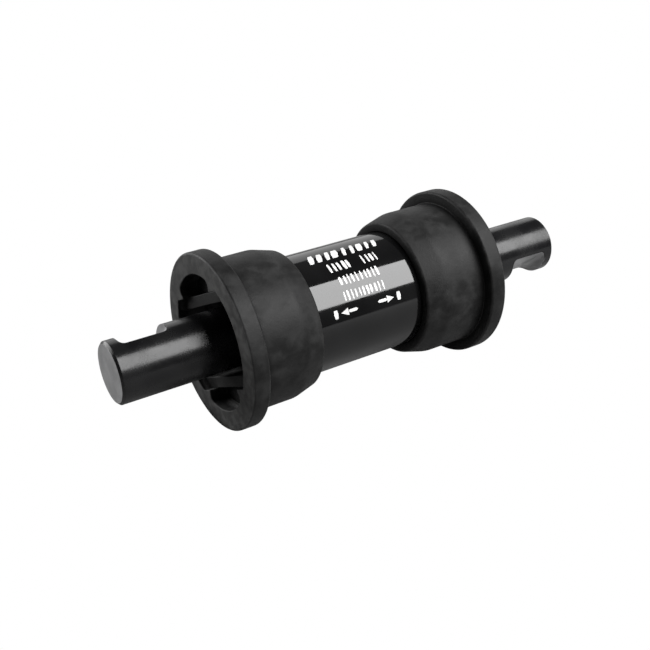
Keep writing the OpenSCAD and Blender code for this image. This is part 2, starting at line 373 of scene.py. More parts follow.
# The cuts are bare: a faced end within its filed edge, and what lies under the coat between a notch's walls
faced_depth = 0.00012
notch_reach = notch_half + 0.00005
under_coat_r = crank_seat_r - 0.0002
for face in spindle_bm.faces:
    middle = face.calc_center_median()
    at_end = min(middle.x - left_end, right_end - middle.x) < faced_depth
    at_notch = min(abs(middle.x - left_notch_x), abs(middle.x - right_notch_x)) <= notch_reach
    milled = at_notch and Vector(middle[1:]).length < under_coat_r
    face.material_index = int(at_end or milled)
turned_spindle = finished_piece("turned_spindle", spindle_bm, blackened_steel(), faced_steel())
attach(turned_spindle, "spindle")
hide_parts("spindle")


# ---- Ball bearings ----
# Two sealed ball bearings, one at each end of the cartridge. The races are ground from hard steel, the
# balls are polished, a moulded nylon cage keeps them apart, and a rubber seal clips in on each side.

race_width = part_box("left_bearing_outer_race")[1].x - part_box("left_bearing_outer_race")[0].x
bearing_x = (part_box("right_bearing_outer_race")[0].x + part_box("right_bearing_outer_race")[1].x) / 2
outer_race_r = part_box("right_bearing_outer_race")[1].z
inner_land_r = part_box("right_bearing_inner_race")[1].z
ball_r = (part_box("right_bearing_balls")[1].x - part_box("right_bearing_balls")[0].x) / 2
pitch_r = (journal_r + outer_race_r) / 2
outer_land_r = 2 * pitch_r - inner_land_r
running_gap = 0.00005
groove_r = ball_r + running_gap
seal_seat_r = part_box("right_bearing_outer_seal")[1].z
seal_inset = 0.0002
seal_thickness = 0.0006
seal_face = race_width / 2 - seal_inset
seal_back = seal_face - seal_thickness
race_bevel = 0.0003
balls_in_bearing = 11


def rounded_outline(corners, steps=4):
    """A closed outline. A corner is (x, radius, rounding), and a rounded one becomes a short arc."""
    outline = []
    for i, (x, r, rounding) in enumerate(corners):
        corner = Vector((x, r))
        to_last = (Vector(corners[i - 1][:2]) - corner).normalized()
        to_next = (Vector(corners[(i + 1) % len(corners)][:2]) - corner).normalized()
        if not rounding:
            outline.append(corner)
            continue
        half = to_last.angle(to_next) / 2
        centre = corner + (to_last + to_next).normalized() * rounding / math.sin(half)
        first = corner + to_last * rounding / math.tan(half) - centre
        last = corner + to_next * rounding / math.tan(half) - centre
        start = math.atan2(first.y, first.x)
        swing = (math.atan2(last.y, last.x) - start + math.pi) % (2 * math.pi) - math.pi
        for k in range(steps + 1):
            turn = start + swing * k / steps
            outline.append(centre + Vector((math.cos(turn), math.sin(turn))) * rounding)
    return outline


def start_shaping(name, inputs):
    """An empty geometry node tree that takes and gives a mesh, with its named inputs."""
    tree = bpy.data.node_groups.new(name, "GeometryNodeTree")
    tree.interface.new_socket("Geometry", in_out="INPUT", socket_type="NodeSocketGeometry")
    for label, kind in inputs.items():
        tree.interface.new_socket(label, in_out="INPUT", socket_type="NodeSocket" + kind)
    tree.interface.new_socket("Geometry", in_out="OUTPUT", socket_type="NodeSocketGeometry")
    return tree, tree.nodes.new("NodeGroupInput").outputs


def end_shaping(tree, geometry, finish):
    real = put(tree, "GeometryNodeRealizeInstances", {"Geometry": geometry}).outputs[0]
    coated = put(tree, "GeometryNodeSetMaterial", {"Geometry": real, "Material": finish}).outputs[0]
    tree.links.new(coated, tree.nodes.new("NodeGroupOutput").inputs[0])


def shaped(name, tree, start_mesh, finish, **values):
    """Runs a geometry node tree on a starting mesh and returns the plain mesh that comes out."""
    draft = bpy.data.objects.new(name + "_draft", start_mesh)
    shaping = draft.modifiers.new("shaping", "NODES")
    shaping.node_group = tree
    sockets = {item.name: item.identifier for item in tree.interface.items_tree if item.in_out == "INPUT"}
    shaping[sockets["Finish"]] = finish
    for label, value in values.items():
        shaping[sockets[label.replace("_", " ").title()]] = value
    bpy.context.scene.collection.objects.link(draft)
    evaluated = draft.evaluated_get(bpy.context.evaluated_depsgraph_get())
    mesh = bpy.data.meshes.new_from_object(evaluated)
    draft.modifiers.clear()
    bpy.data.objects.remove(draft)
    return mesh


def turning_tree():
    """Turns an outline round the spindle: its x is the place along the spindle and its z the radius."""
    tree, given = start_shaping("turn_outline", {"Turns": "Int", "Finish": "Material"})
    size = put(tree, "GeometryNodeAttributeDomainSize", {"Geometry": given["Geometry"]}, component="MESH")
    points = size.outputs["Point Count"]
    around = put(tree, "FunctionNodeIntegerMath", {0: given["Turns"], 1: 1}, operation="ADD").outputs[0]
    along = put(tree, "FunctionNodeIntegerMath", {0: points, 1: 1}, operation="ADD").outputs[0]
    grid = put(tree, "GeometryNodeMeshGrid", {"Vertices X": along, "Vertices Y": around}).outputs["Mesh"]
    index = put(tree, "GeometryNodeInputIndex").outputs[0]
    row = put(tree, "FunctionNodeIntegerMath", {0: index, 1: around}, operation="DIVIDE_FLOOR").outputs[0]
    row = put(tree, "FunctionNodeIntegerMath", {0: row, 1: points}, operation="MODULO").outputs[0]
    column = put(tree, "FunctionNodeIntegerMath", {0: index, 1: around}, operation="MODULO").outputs[0]
    position = put(tree, "GeometryNodeInputPosition").outputs[0]
    sample = put(tree, "GeometryNodeSampleIndex", data_type="FLOAT_VECTOR", domain="POINT")
    tree.links.new(given["Geometry"], sample.inputs["Geometry"])
    tree.links.new(position, sample.inputs["Value"])
    tree.links.new(row, sample.inputs["Index"])
    spot = put(tree, "ShaderNodeSeparateXYZ", {0: sample.outputs[0]})
    turn = math_of(tree, "MULTIPLY", math_of(tree, "DIVIDE", column, given["Turns"]), 2 * math.pi)
    y = math_of(tree, "MULTIPLY", spot.outputs["Z"], math_of(tree, "COSINE", turn))
    z = math_of(tree, "MULTIPLY", spot.outputs["Z"], math_of(tree, "SINE", turn))
    place = put(tree, "ShaderNodeCombineXYZ", {"X": spot.outputs["X"], "Y": y, "Z": z}).outputs[0]
    turned = put(tree, "GeometryNodeSetPosition", {"Geometry": grid, "Position": place}).outputs[0]
    values = {"Geometry": turned, "Distance": weld_distance}
    closed = put(tree, "GeometryNodeMergeByDistance", values).outputs[0]
    end_shaping(tree, closed, given["Finish"])
    return tree


turn_outline = turning_tree()


def turned_mesh(name, corners, finish, turns=144):
    """A ring turned from a cornered outline, with its faces pointing out."""
    start = bpy.data.meshes.new(name + "_outline")
    outline = [(point.x, 0, point.y) for point in rounded_outline(corners)]
    start.from_pydata(outline, [(i, (i + 1) % len(outline)) for i in range(len(outline))], [])
    mesh = shaped(name, turn_outline, start, finish, turns=turns)
    bm = bmesh.new()
    bm.from_mesh(mesh)
    bmesh.ops.recalc_face_normals(bm, faces=bm.faces)
    bm.to_mesh(mesh)
    bm.free()
    return mesh


def turned_piece(name, corners, finish, body, node):
    """A turned ring that rides on a body and stands in for one of the frame's nodes."""
    piece = shaded_piece(name, turned_mesh(name, corners, finish), finish)
    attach(piece, body)
    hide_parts(node)


def placed(corners, middle, side=1):
    """An outline's corners moved along the spindle to a place, on the drive side (1) or the other (-1)."""
    return [(side * (middle + x), r, rounding) for x, r, rounding in corners]


def ground_steel():
    """Hard steel, ground bright, with close fine rings from the wheel."""
    finish, tree, shader = new_finish("ground_steel", Metallic=1.0)
    marks = use_group(tree, turning_marks, spacing=0.00009)
    worn = use_group(tree, edge_wear, width=0.0002, patch_size=0.001, amount=0.8)["Worn"]
    steel = mixed_colour(tree, marks["Tone"], (0.50, 0.50, 0.52), (0.58, 0.58, 0.60))
    tree.links.new(mixed_colour(tree, worn, steel, (0.72, 0.72, 0.73)), shader["Base Color"])
    tree.links.new(spread(tree, marks["Height"], 0.18, 0.30), shader["Roughness"])
    raise_surface(tree, shader, marks["Height"], 0.000002)
    return finish


def groove_arc(direction):
    """The ball groove in a race, as points that dip away from the balls' own circle."""
    steps = 12
    land = direction * (outer_land_r - pitch_r)
    half = math.acos(abs(land) / groove_r)
    arc = []
    for k in range(steps + 1):
        turn = half * (2 * k / steps - 1)
        arc.append((groove_r * math.sin(turn), pitch_r + direction * groove_r * math.cos(turn), 0))
    return arc


race_half = race_width / 2
outer_race_corners = [
    (-race_half, outer_race_r, race_bevel),
    (-race_half, seal_seat_r, 0.00008),
    (-seal_back, seal_seat_r, 0),
    (-seal_back, outer_land_r, 0.0001),
    *groove_arc(1),
    (seal_back, outer_land_r, 0.0001),
    (seal_back, seal_seat_r, 0),
    (race_half, seal_seat_r, 0.00008),
    (race_half, outer_race_r, race_bevel),
]
inner_race_corners = [
    (-race_half, journal_r, race_bevel),
    (-race_half, inner_land_r, 0.00015),
    *groove_arc(-1),
    (race_half, inner_land_r, 0.00015),
    (race_half, journal_r, race_bevel),
]
race_steel = ground_steel()
for side, word in ((-1, "left"), (1, "right")):
    turned_piece(
        f"{word}_ground_outer_race", placed(outer_race_corners, bearing_x, side), race_steel,
        "cartridge", f"{word}_bearing_outer_race",
    )
    turned_piece(
        f"{word}_ground_inner_race", placed(inner_race_corners, bearing_x, side), race_steel,
        "spindle", f"{word}_bearing_inner_race",
    )


ball_circle_inputs = {"Balls": "Int", "Pitch Radius": "Float", "Place": "Float", "Finish": "Material"}


def ball_circle(tree, given, place=(0, 0, 0)):
    """A point for each ball. The first one turns from X to Y, then the circle stands across the spindle."""
    values = {"Vertices": given["Balls"], "Radius": given["Pitch Radius"]}
    lying = put(tree, "GeometryNodeMeshCircle", values).outputs[0]
    values = {"Geometry": lying, "Rotation": (0, 0, math.pi / 2)}
    turned = put(tree, "GeometryNodeTransform", values).outputs[0]
    values = {"Geometry": turned, "Rotation": (0, math.pi / 2, 0), "Translation": place}
    return put(tree, "GeometryNodeTransform", values).outputs[0]


def ball_ring_tree():
    """Sets equal balls round a circle about the spindle."""
    tree, given = start_shaping("ball_ring", {"Ball Radius": "Float", **ball_circle_inputs})
    place = put(tree, "ShaderNodeCombineXYZ", {"X": given["Place"]}).outputs[0]
    values = {"Radius": given["Ball Radius"], "Subdivisions": 5}
    ball = put(tree, "GeometryNodeMeshIcoSphere", values).outputs["Mesh"]
    values = {"Points": ball_circle(tree, given, place), "Instance": ball}
    balls = put(tree, "GeometryNodeInstanceOnPoints", values).outputs[0]
    end_shaping(tree, balls, given["Finish"])
    return tree


def polished_ball():
    """Hard steel, lapped to a mirror."""
    finish, tree, shader = new_finish("polished_ball", Metallic=1.0)
    grain = use_group(tree, surface_grain, grain_size=0.0006, blotch_size=0.002)
    steel = mixed_colour(tree, grain["Blotches"], (0.68, 0.68, 0.70), (0.74, 0.74, 0.75))
    tree.links.new(steel, shader["Base Color"])
    tree.links.new(between(tree, grain["Grain"], 0.05, 0.10), shader["Roughness"])
    raise_surface(tree, shader, grain["Grain"], 0.0000003)
    return finish


ball_ring = ball_ring_tree()
ball_steel = polished_ball()
for side, word in ((-1, "left"), (1, "right")):
    balls_mesh = shaped(
        f"{word}_balls", ball_ring, bpy.data.meshes.new("no_start"), ball_steel,
        balls=balls_in_bearing, ball_radius=ball_r, pitch_radius=pitch_r, place=side * bearing_x,
    )
    balls = shaded_piece(f"{word}_polished_balls", balls_mesh, ball_steel)
    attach(balls, f"{word}_ball_set")
    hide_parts(f"{word}_bearing_balls")


def cage_tree():
    """Drills a round window through the cage's blank for each ball."""
    drill_length = 0.004
    tree, given = start_shaping("drill_cage", {"Window Radius": "Float", **ball_circle_inputs})
    values = {"Vertices": 48, "Radius": given["Window Radius"], "Depth": drill_length}
    drill = put(tree, "GeometryNodeMeshCylinder", values).outputs["Mesh"]
    outward = put(tree, "GeometryNodeInputPosition").outputs[0]
    aim = put(tree, "FunctionNodeAlignRotationToVector", {"Vector": outward}, axis="Z").outputs[0]
    values = {"Points": ball_circle(tree, given), "Instance": drill, "Rotation": aim}
    drills = put(tree, "GeometryNodeInstanceOnPoints", values).outputs[0]
    place = put(tree, "ShaderNodeCombineXYZ", {"X": given["Place"]}).outputs[0]
    moved = put(tree, "GeometryNodeTransform", {"Geometry": drills, "Translation": place}).outputs[0]
    cutters = put(tree, "GeometryNodeRealizeInstances", {"Geometry": moved}).outputs[0]
    drilled = put(tree, "GeometryNodeMeshBoolean", operation="DIFFERENCE", solver="EXACT")
    tree.links.new(given["Geometry"], drilled.inputs["Mesh 1"])
    tree.links.new(cutters, drilled.inputs["Mesh 2"])
    end_shaping(tree, drilled.outputs["Mesh"], given["Finish"])
    return tree


def cage_nylon_finish():
    """Natural nylon, a dull amber, with a fine grain from the mould."""
    finish, tree, shader = new_finish("cage_nylon")
    grain = use_group(tree, surface_grain, grain_size=0.0003, blotch_size=0.003)
    worn = use_group(tree, edge_wear, width=0.0002, patch_size=0.001, amount=0.7)["Worn"]
    nylon = mixed_colour(tree, grain["Blotches"], (0.52, 0.41, 0.24), (0.60, 0.48, 0.29))
    tree.links.new(mixed_colour(tree, worn, nylon, (0.70, 0.60, 0.42)), shader["Base Color"])
    tree.links.new(between(tree, grain["Grain"], 0.42, 0.55), shader["Roughness"])
    raise_surface(tree, shader, grain["Grain"], 0.000008)
    return finish


drill_cage = cage_tree()
cage_nylon = cage_nylon_finish()
cage_gap = 0.0004
cage_side = 0.00055
cage_round = 0.00012
cage_half = ball_r + cage_side
cage_corners = [
    (-cage_half, inner_land_r + cage_gap, cage_round),
    (-cage_half, outer_land_r - cage_gap, cage_round),
    (cage_half, outer_land_r - cage_gap, cage_round),
    (cage_half, inner_land_r + cage_gap, cage_round),
]
for side, word in ((-1, "left"), (1, "right")):
    blank = turned_mesh(f"{word}_cage_blank", placed(cage_corners, bearing_x, side), cage_nylon)
    cage_mesh = shaped(
        f"{word}_cage", drill_cage, blank, cage_nylon,
        balls=balls_in_bearing, window_radius=groove_r, pitch_radius=pitch_r, place=side * bearing_x,
    )
    cage = shaded_piece(f"{word}_moulded_cage", cage_mesh, cage_nylon)
    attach(cage, f"{word}_ball_set")
    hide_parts(f"{word}_bearing_cage")


def seal_rubber_finish():
    """Black nitrile rubber, with a bloom of dust that has settled in its slow blotches."""
    finish, tree, shader = new_finish("seal_rubber")
    grain = use_group(tree, surface_grain, grain_size=0.00025, blotch_size=0.004)
    worn = use_group(tree, edge_wear, width=0.0002, patch_size=0.001, amount=0.6)["Worn"]
    rubber = mixed_colour(tree, grain["Blotches"], (0.014, 0.014, 0.014), (0.030, 0.029, 0.028))
    tree.links.new(mixed_colour(tree, worn, rubber, (0.06, 0.06, 0.06)), shader["Base Color"])
    tree.links.new(between(tree, grain["Blotches"], 0.55, 0.72), shader["Roughness"])
    raise_surface(tree, shader, grain["Grain"], 0.00001)
    return finish


seal_rubber = seal_rubber_finish()
seal_lip_r = inner_land_r + running_gap
seal_corners = [
    (seal_back, seal_lip_r + 0.0004, 0.00005),
    (seal_back, seal_seat_r, 0.00008),
    (seal_face, seal_seat_r, 0.00012),
    (seal_face, seal_seat_r - 0.0006, 0.00005),
    (seal_face - 0.0002, seal_seat_r - 0.0008, 0.00005),
    (seal_face - 0.0002, seal_lip_r + 0.0008, 0.00005),
    (seal_face, seal_lip_r + 0.0006, 0.00008),
    (seal_face - 0.0001, seal_lip_r, 0.00005),
    (seal_back + 0.0003, seal_lip_r, 0.00005),
]
inner_seal_corners = [(-x, r, rounding) for x, r, rounding in seal_corners]
for side, word in ((-1, "left"), (1, "right")):
    for corners, which in ((seal_corners, "outer"), (inner_seal_corners, "inner")):
        turned_piece(
            f"{word}_rubber_{which}_seal", placed(corners, bearing_x, side), seal_rubber,
            "cartridge", f"{word}_bearing_{which}_seal",
        )


# ---- Spacer and cartridge sleeve ----
# The spacer is plain steel tube, cut to length, that holds the two outer races apart. Both bearings
# are pressed into the sleeve, a drawn steel tube with deburred ends, dipped in gloss black lacquer.

sleeve_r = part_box("cartridge_sleeve")[1].z
spacer_wall = 0.001
end_break = 0.0002


def plain_turned_steel():
    """Mild steel as the lathe leaves it, greyer and coarser than the races."""
    finish, tree, shader = new_finish("plain_turned_steel", Metallic=1.0)
    marks = use_group(tree, turning_marks, spacing=0.00022)
    worn = use_group(tree, edge_wear, width=0.0003, patch_size=0.0015, amount=0.9)["Worn"]
    steel = mixed_colour(tree, marks["Tone"], (0.33, 0.33, 0.34), (0.44, 0.44, 0.45))
    tree.links.new(mixed_colour(tree, worn, steel, (0.62, 0.62, 0.63)), shader["Base Color"])
    tree.links.new(spread(tree, marks["Height"], 0.30, 0.45), shader["Roughness"])
    raise_surface(tree, shader, marks["Height"], 0.000005)
    return finish


def gloss_lacquer():
    """Dipped lacquer: smooth and wet-looking, with a faint orange peel and light handling scratches."""
    finish, tree, shader = new_finish("gloss_lacquer", IOR=1.5)
    grain = use_group(tree, surface_grain, grain_size=0.0022, blotch_size=0.012)
    worn = use_group(tree, edge_wear, width=0.0003, patch_size=0.0012, amount=0.7)["Worn"]
    black = mixed_colour(tree, grain["Blotches"], (0.003, 0.003, 0.0032), (0.006, 0.006, 0.0062))
    tree.links.new(mixed_colour(tree, worn, black, (0.35, 0.35, 0.36)), shader["Base Color"])
    tree.links.new(worn, shader["Metallic"])
    tree.links.new(between(tree, grain["Blotches"], 0.05, 0.09), shader["Roughness"])
    raise_surface(tree, shader, grain["Grain"], 0.0000015)
    return finish


tube_steel = plain_turned_steel()
sleeve_lacquer = gloss_lacquer()
turned_piece(
    "cut_spacer_tube",
    [
        (-bearing_in, outer_race_r, end_break),
        (-bearing_in, outer_race_r - spacer_wall, end_break),
        (bearing_in, outer_race_r - spacer_wall, end_break),
        (bearing_in, outer_race_r, end_break),
    ],
    tube_steel, "cartridge", "bearing_spacer",
)
turned_piece(
    "lacquered_sleeve",
    [
        (-sleeve_end, sleeve_r, end_break),
        (-sleeve_end, outer_race_r, end_break),
        (sleeve_end, outer_race_r, end_break),
        (sleeve_end, sleeve_r, end_break),
    ],
    sleeve_lacquer, "cartridge", "cartridge_sleeve",
)


# ---- Collars and dust seals ----
# A turned steel collar is pressed into each end of the sleeve and keeps the bearing in. It holds the
# rim of a moulded rubber dust seal, whose thin lip runs close round the spindle.

collar_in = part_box("right_retaining_collar")[0].x
dust_seal_in, dust_seal_out = (corner.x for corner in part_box("right_dust_seal"))
dust_rim_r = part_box("right_dust_seal")[1].z
dust_lip_r = journal_r + running_gap
dust_knee_r = (dust_rim_r + dust_lip_r) / 2
dust_lip_step = 0.0005
collar_corners = [
    (collar_in, outer_race_r, end_break),
    (collar_in, dust_rim_r, 0.0001),
    (sleeve_end, dust_rim_r, 0.00015),
    (sleeve_end, outer_race_r, 0.00035),
]
dust_seal_corners = [
    (dust_seal_in, dust_rim_r, 0.0001),
    (dust_seal_in, dust_knee_r, 0.0003),
    (dust_seal_in + dust_lip_step, dust_lip_r, 0.0001),
    (dust_seal_out - dust_lip_step, dust_lip_r, 0.0001),
    (dust_seal_out, dust_knee_r, 0.0003),
    (dust_seal_out, dust_rim_r - 0.0007, 0.0001),
    (dust_seal_out - 0.0002, dust_rim_r - 0.0005, 0.00005),
    (dust_seal_out - 0.0002, dust_rim_r, 0.0001),
]
for side, word in ((-1, "left"), (1, "right")):
    turned_piece(
        f"{word}_pressed_collar", placed(collar_corners, 0, side), tube_steel,
        "cartridge", f"{word}_retaining_collar",
    )
    turned_piece(
        f"{word}_rubber_dust_seal", placed(dust_seal_corners, 0, side), seal_rubber,
        "cartridge", f"{word}_dust_seal",
    )


# ---- Printed marks ----
# White ink, pad-printed on the lacquer: four rows of plain, uneven ticks, and below them an arrow and
# a short bar towards each side of the frame. The ink stands 0.02 mm proud.

ink_thickness = 0.00002


def print_tree():
    """Wraps flat marks round the sleeve. Each starting point is a mark, laid out on the unrolled tube."""
    inputs = {"Sleeve Radius": "Float", "Ink Thickness": "Float", "Ragged": "Float", "Seed": "Int"}
    tree, given = start_shaping("print_marks", {**inputs, "Finish": "Material"})

    def attribute(label, kind="FLOAT"):
        named = put(tree, "GeometryNodeInputNamedAttribute", {"Name": label}, data_type=kind)
        return named.outputs["Attribute"]

    def keep_place(geometry, label, domain):
        values = {"Geometry": geometry, "Name": label, "Value": here}
        kind = "GeometryNodeStoreNamedAttribute"
        return put(tree, kind, values, data_type="FLOAT_VECTOR", domain=domain).outputs[0]

    here = put(tree, "GeometryNodeInputPosition").outputs[0]
    values = {"Size X": 2.0, "Size Y": 2.0, "Vertices X": 9, "Vertices Y": 9}
    blank = keep_place(put(tree, "GeometryNodeMeshGrid", values).outputs["Mesh"], "inside", "POINT")
    values = {"Points": given["Geometry"], "Instance": blank}
    marks = put(tree, "GeometryNodeInstanceOnPoints", values).outputs[0]
    marks = keep_place(marks, "centre", "INSTANCE")
    real = put(tree, "GeometryNodeRealizeInstances", {"Geometry": marks}).outputs[0]
    inside = put(tree, "ShaderNodeSeparateXYZ", {0: attribute("inside", "FLOAT_VECTOR")})
    middle = put(tree, "ShaderNodeSeparateXYZ", {0: attribute("centre", "FLOAT_VECTOR")})
    u, v = inside.outputs["X"], inside.outputs["Y"]
    # Rounded corners: the height falls away near both ends of the mark
    near_end = math_of(tree, "POWER", math_of(tree, "ABSOLUTE", u), 6.0)
    rounded = math_of(tree, "POWER", math_of(tree, "SUBTRACT", 1.0001, near_end), 0.25)
    # An arrow's head narrows from its back to its tip
    taper = attribute("taper")
    sloped = math_of(tree, "SUBTRACT", 1.0, math_of(tree, "MULTIPLY", taper, u))
    narrowed = math_of(tree, "DIVIDE", sloped, 2.0)
    is_head = math_of(tree, "ABSOLUTE", taper)
    plain = math_of(tree, "MULTIPLY", rounded, math_of(tree, "SUBTRACT", 1.0, is_head))
    tall = math_of(tree, "ADD", plain, math_of(tree, "MULTIPLY", narrowed, is_head))
    up = math_of(tree, "MULTIPLY", math_of(tree, "MULTIPLY", v, tall), attribute("half_height"))
    # The node's third and fourth inputs are the lowest and highest plain number, its second output the number
    values = {2: -1.0, 3: 1.0, "Seed": given["Seed"]}
    either_way = put(tree, "FunctionNodeRandomValue", values, data_type="FLOAT").outputs[1]
    wobble = math_of(tree, "MULTIPLY", either_way, given["Ragged"])
    leaned = math_of(tree, "MULTIPLY", up, attribute("slant"))
    x = math_of(tree, "ADD", middle.outputs["X"], math_of(tree, "MULTIPLY", u, attribute("half_length")))
    x = math_of(tree, "ADD", math_of(tree, "ADD", x, leaned), wobble)
    unrolled = math_of(tree, "SUBTRACT", middle.outputs["Y"], up)
    turn = math_of(tree, "DIVIDE", unrolled, given["Sleeve Radius"])
    radius = math_of(tree, "ADD", given["Sleeve Radius"], given["Ink Thickness"])
    y = math_of(tree, "MULTIPLY", radius, math_of(tree, "COSINE", turn))
    z = math_of(tree, "MULTIPLY", radius, math_of(tree, "SINE", turn))
    place = put(tree, "ShaderNodeCombineXYZ", {"X": x, "Y": y, "Z": z}).outputs[0]
    wrapped = put(tree, "GeometryNodeSetPosition", {"Geometry": real, "Position": place}).outputs[0]
    end_shaping(tree, wrapped, given["Finish"])
    return tree


def white_ink():
    """Matt white ink that lets a little of the black through where it is thin."""
    finish, tree, shader = new_finish("white_ink")
    grain = use_group(tree, surface_grain, grain_size=0.0002, blotch_size=0.0012)
    ink = mixed_colour(tree, grain["Blotches"], (0.62, 0.62, 0.62), (0.82, 0.82, 0.81))
    tree.links.new(ink, shader["Base Color"])
    tree.links.new(between(tree, grain["Grain"], 0.35, 0.5), shader["Roughness"])
    raise_surface(tree, shader, grain["Grain"], 0.000003)
    return finish


print_wear = random.Random(11)


def tick_row(first_x, last_x, turn_deg, height, ticks, share, slant=0):
    """A row of uneven ticks between two places along the sleeve; share is how much of the row is ink."""
    pitch = (last_x - first_x) / ticks
    row = []
    for k in range(ticks):
        width = pitch * share * print_wear.uniform(0.6, 1.3)
        middle = first_x + pitch * (k + 0.5) + pitch * print_wear.uniform(-0.12, 0.12)
        row.append((middle, turn_deg, width / 2, height / 2 * print_wear.uniform(0.85, 1.05), slant, 0))
    return row


# A mark is its place along the sleeve and round it, half its length and height, its slant and its taper
printed = []
printed += tick_row(-0.0108, 0.0113, turn_deg=95.5, height=0.0036, ticks=9, share=0.72, slant=0.35)
printed += tick_row(-0.0075, -0.0005, turn_deg=112.5, height=0.0029, ticks=5, share=0.55)
printed += tick_row(0.0028, 0.0077, turn_deg=112.5, height=0.0029, ticks=4, share=0.55)
printed += tick_row(-0.0065, 0.0060, turn_deg=128, height=0.0026, ticks=10, share=0.5)
printed += tick_row(-0.0070, 0.0058, turn_deg=142.5, height=0.0024, ticks=11, share=0.5)
arrow_deg = 156.5
head_length = 0.0022
shaft_half_height, head_half_height = 0.0004, 0.00095
bar_gap, bar_half_length, bar_half_height = 0.0015, 0.0006, 0.0011
for side, near, far in ((-1, 0.0038, 0.0088), (1, 0.0025, 0.0075)):
    shaft_middle = side * (near + far - head_length) / 2
    shaft_half = (far - head_length - near) / 2
    head_middle = side * (far - head_length / 2)
    printed.append((shaft_middle, arrow_deg, shaft_half, shaft_half_height, 0, 0))
    printed.append((head_middle, arrow_deg, head_length / 2, head_half_height, 0, side))
    printed.append((side * (far + bar_gap), arrow_deg, bar_half_length, bar_half_height, 0, 0))

print_start = bpy.data.meshes.new("print_layout")
print_start.from_pydata([(x, math.radians(deg) * sleeve_r, 0) for x, deg, *_ in printed], [], [])
for column, label in enumerate(("half_length", "half_height", "slant", "taper"), start=2):
    values = print_start.attributes.new(label, "FLOAT", "POINT")
    values.data.foreach_set("value", [mark[column] for mark in printed])
ink = white_ink()
marks_mesh = shaped(
    "printed_marks", print_tree(), print_start, ink,
    sleeve_radius=sleeve_r, ink_thickness=ink_thickness, ragged=0.00003, seed=7,
)
printed_marks = bpy.data.objects.new("printed_marks", marks_mesh)
marks_mesh.shade_smooth()
bpy.context.scene.collection.objects.link(printed_marks)
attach(printed_marks, "cartridge")


# ---- Cups ----
# Two alike mouldings of black glass-filled nylon, pushed into the frame's shell from each side, that
# hold the cartridge in their sockets. The outer face has a slot for the fitting tool between two ribs,
# with a D-shaped pocket behind each rib, cored out so that the thick face doesn't sink as it cools.

cup_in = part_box("right_cup")[0].x
cup_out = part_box("right_cup")[1].x
flange_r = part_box("right_cup")[1].z
shell_face = mounts["right_shell_face"]["pos_m"][0]
cup_r = mounts["right_cup_seat"]["dims"]["r_mm"] / 1000
ring_width = 0.00545
slot_gap = 0.00125
rib_thickness = 0.003
rib_recess = 0.0022
pocket_depth = 0.005
bulkhead_gap = 0.0005
opening_r = flange_r - ring_width
slot_half = crank_seat_r + slot_gap
rib_back = slot_half + rib_thickness
rib_top = cup_out - rib_recess
pocket_floor = cup_out - pocket_depth
bulkhead_hole_r = journal_r + bulkhead_gap
slot_turn = math.radians(-30)
flange_round = 0.0007
lip_round = 0.0008
inner_corner_round = 0.0003
lead_in_length = 0.006
lead_in_depth = 0.0016
lead_in_round = 0.006
lead_in_end = cup_in + lead_in_length
mould_round = 0.00025
sliding_gap = 0.00003

slot_edge = math.asin(slot_half / opening_r)
rib_edge = math.asin(rib_back / opening_r)
slot_steps, rib_steps, pocket_steps = 32, 6, 48

# The tool face's outlines are drawn as (along the slot, across it), for one rib and the pocket behind it.
# Each pocket's corners are rounded, which leaves a tongue level with the ring beside each end of the rib.
pocket_corner_r = 0.0018
tongue_tip = 0.0006
corner_across = rib_back + pocket_corner_r
corner_along = math.sqrt((opening_r - pocket_corner_r) ** 2 - corner_across ** 2)
touch = math.atan2(corner_across, corner_along)
tip = math.acos(1 - tongue_tip / pocket_corner_r)


def turns_between(first, last, steps):
    return [first + (last - first) * k / steps for k in range(steps + 1)]


def arc_points(radius, first, last, steps):
    turns = turns_between(first, last, steps)
    return [(radius * math.cos(turn), radius * math.sin(turn)) for turn in turns]


def corner_points(first, last, steps):
    """Part of a pocket's rounded corner: 0 is where it leaves the straight back of the rib."""
    return [
        (corner_along + pocket_corner_r * math.sin(turn), corner_across - pocket_corner_r * math.cos(turn))
        for turn in turns_between(first, last, steps)
    ]


def with_mirror(points):
    return points + [(-along, across) for along, across in reversed(points)]


rib_arc = arc_points(opening_r, slot_edge, rib_edge, rib_steps)
other_rib_arc = [(-along, across) for along, across in rib_arc]
low_corner = corner_points(0, tip, 5)
high_corner = corner_points(tip, touch + math.pi / 2, 9)
round_back = arc_points(opening_r, touch, math.pi / 2, 20)
tongue_foot = (low_corner[-1][0], rib_back)
tongue_and_pocket = with_mirror([rib_arc[-1], tongue_foot, *high_corner, *round_back[1:-1]])
pocket_outline = with_mirror(low_corner + high_corner[1:] + round_back[1:-1])
rib_outline = with_mirror(rib_arc + [tongue_foot] + low_corner[::-1])


